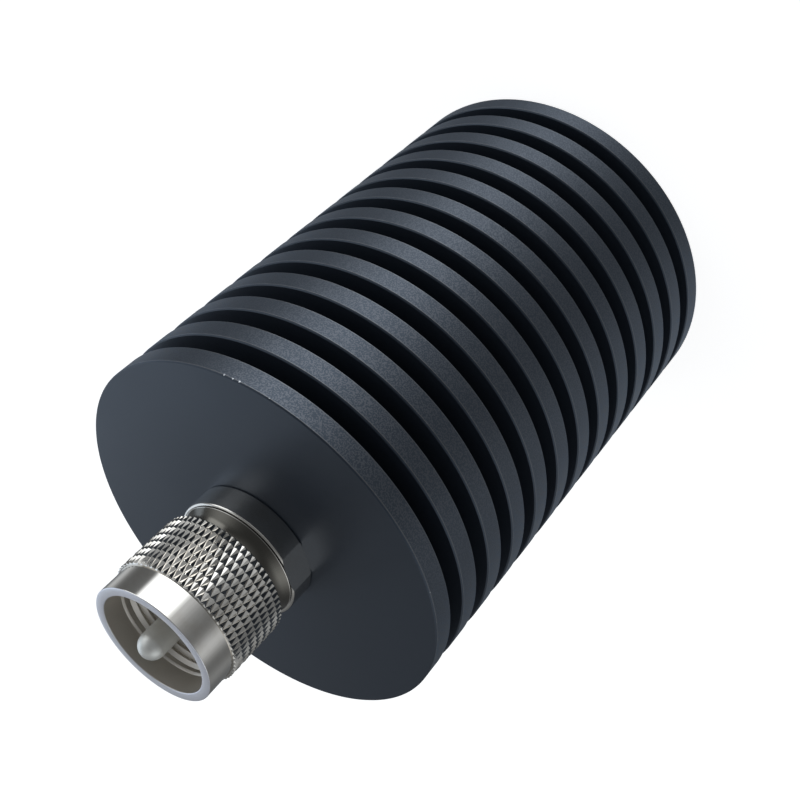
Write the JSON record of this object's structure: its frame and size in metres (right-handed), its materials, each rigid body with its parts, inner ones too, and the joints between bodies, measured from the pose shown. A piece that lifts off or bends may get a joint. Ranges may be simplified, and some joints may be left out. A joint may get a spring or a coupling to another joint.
{
  "type": "rf dummy load",
  "caption": "Cylindrical coaxial load with annular cooling fins and a knurled threaded plug that terminates a radio output and sheds its power as heat.",
  "frame": {"origin": "centre of the flat rear face, on the axis", "axes": "+Z along the axis from the rear face to the plug; +X lies along the width of the resistor's flange, +Y points from the resistor carrier to the axis"},
  "size_m": [0.06, 0.06, 0.1045],
  "materials": {
    "black_anodised": "satin black anodised",
    "nickel_plate": "bright nickel plate",
    "pin_plate": "satin silver plate",
    "spring_bronze": "bare spring bronze",
    "white_insulator": "white fluoropolymer",
    "copper": "bare copper",
    "alumina": "fired white ceramic",
    "silver_ribbon": "silver plated ribbon",
    "screw_steel": "bright steel"
  },
  "bodies": {
    "load": {"heatsink": "black_anodised", "connector_body": "nickel_plate", "retaining_ring": "spring_bronze", "front_insulator": "white_insulator", "rear_insulator": "white_insulator", "centre_pin": "pin_plate", "resistor_carrier": "copper", "resistor_flange": "nickel_plate", "resistor_substrate": "alumina", "resistor_lid": "alumina", "lead_tab": "silver_ribbon", "flange_screw": "screw_steel", "spring_washer": "screw_steel"},
    "nut": {"coupling_nut": "nickel_plate"}
  },
  "joints": [
    {"name": "coupling_spin", "type": "hinge", "parent": "load", "child": "nut", "pos_m": [0, 0, 0.096], "axis": [0, 0, 1], "continuous": true}
  ]
}
